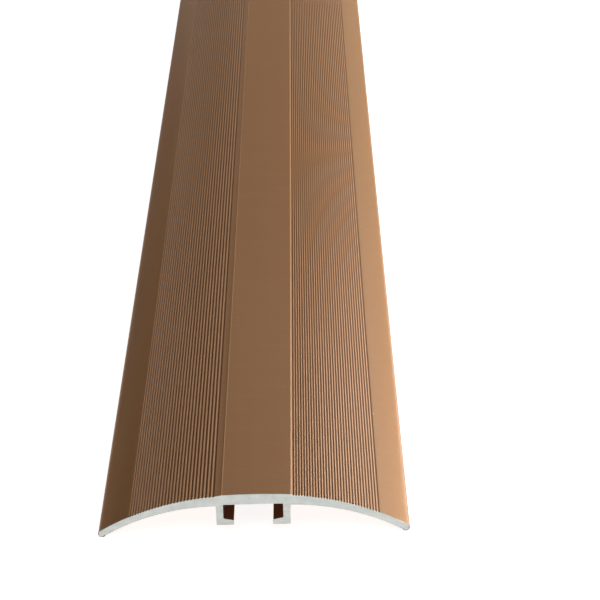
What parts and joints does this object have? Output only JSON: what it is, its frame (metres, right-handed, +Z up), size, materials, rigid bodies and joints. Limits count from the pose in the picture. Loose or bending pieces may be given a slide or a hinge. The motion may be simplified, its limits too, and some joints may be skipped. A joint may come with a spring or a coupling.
{
  "type": "floor threshold strip",
  "caption": "Wide arched metal threshold strip with ribbed wings and a hidden T-channel underneath, held by sliding drive pins in split floor plugs.",
  "frame": {"origin": "middle of the strip's length and width, on the finished floor's plane where the two edge beads rest", "axes": "+Y along the strip, +X across it with the finer and more numerous ribs on the +X wing, +Z up out of the floor"},
  "size_m": [0.08, 0.9, 0.0586],
  "materials": {
    "bronze_anodised": "satin bronze anodised skin with fine drawing lines; bare aluminium on the sawn end faces",
    "zinc_plated_steel": "bright zinc plating, slightly blue",
    "grey_nylon": "moulded grey nylon"
  },
  "bodies": {
    "cover": {"cover_profile": "bronze_anodised"},
    "pin_1": {"fixing_pin_1": "zinc_plated_steel"},
    "plug_1": {"floor_plug_1": "grey_nylon"},
    "pin_2": {"fixing_pin_2": "zinc_plated_steel"},
    "plug_2": {"floor_plug_2": "grey_nylon"},
    "pin_3": {"fixing_pin_3": "zinc_plated_steel"},
    "plug_3": {"floor_plug_3": "grey_nylon"},
    "pin_4": {"fixing_pin_4": "zinc_plated_steel"},
    "plug_4": {"floor_plug_4": "grey_nylon"},
    "pin_5": {"fixing_pin_5": "zinc_plated_steel"},
    "plug_5": {"floor_plug_5": "grey_nylon"},
    "pin_6": {"fixing_pin_6": "zinc_plated_steel"},
    "plug_6": {"floor_plug_6": "grey_nylon"}
  },
  "joints": [
    {"name": "pin_1_slide", "type": "slide", "parent": "cover", "child": "pin_1", "axis": [0, 1, 0], "range_m": [-0.065, 0.065]},
    {"name": "plug_1_pull", "type": "slide", "parent": "pin_1", "child": "plug_1", "axis": [0, 0, -1], "range_m": [0, 0.036]},
    {"name": "pin_2_slide", "type": "slide", "parent": "cover", "child": "pin_2", "axis": [0, 1, 0], "range_m": [-0.065, 0.065]},
    {"name": "plug_2_pull", "type": "slide", "parent": "pin_2", "child": "plug_2", "axis": [0, 0, -1], "range_m": [0, 0.036]},
    {"name": "pin_3_slide", "type": "slide", "parent": "cover", "child": "pin_3", "axis": [0, 1, 0], "range_m": [-0.065, 0.065]},
    {"name": "plug_3_pull", "type": "slide", "parent": "pin_3", "child": "plug_3", "axis": [0, 0, -1], "range_m": [0, 0.036]},
    {"name": "pin_4_slide", "type": "slide", "parent": "cover", "child": "pin_4", "axis": [0, 1, 0], "range_m": [-0.065, 0.065]},
    {"name": "plug_4_pull", "type": "slide", "parent": "pin_4", "child": "plug_4", "axis": [0, 0, -1], "range_m": [0, 0.036]},
    {"name": "pin_5_slide", "type": "slide", "parent": "cover", "child": "pin_5", "axis": [0, 1, 0], "range_m": [-0.065, 0.065]},
    {"name": "plug_5_pull", "type": "slide", "parent": "pin_5", "child": "plug_5", "axis": [0, 0, -1], "range_m": [0, 0.036]},
    {"name": "pin_6_slide", "type": "slide", "parent": "cover", "child": "pin_6", "axis": [0, 1, 0], "range_m": [-0.065, 0.065]},
    {"name": "plug_6_pull", "type": "slide", "parent": "pin_6", "child": "plug_6", "axis": [0, 0, -1], "range_m": [0, 0.036]}
  ]
}
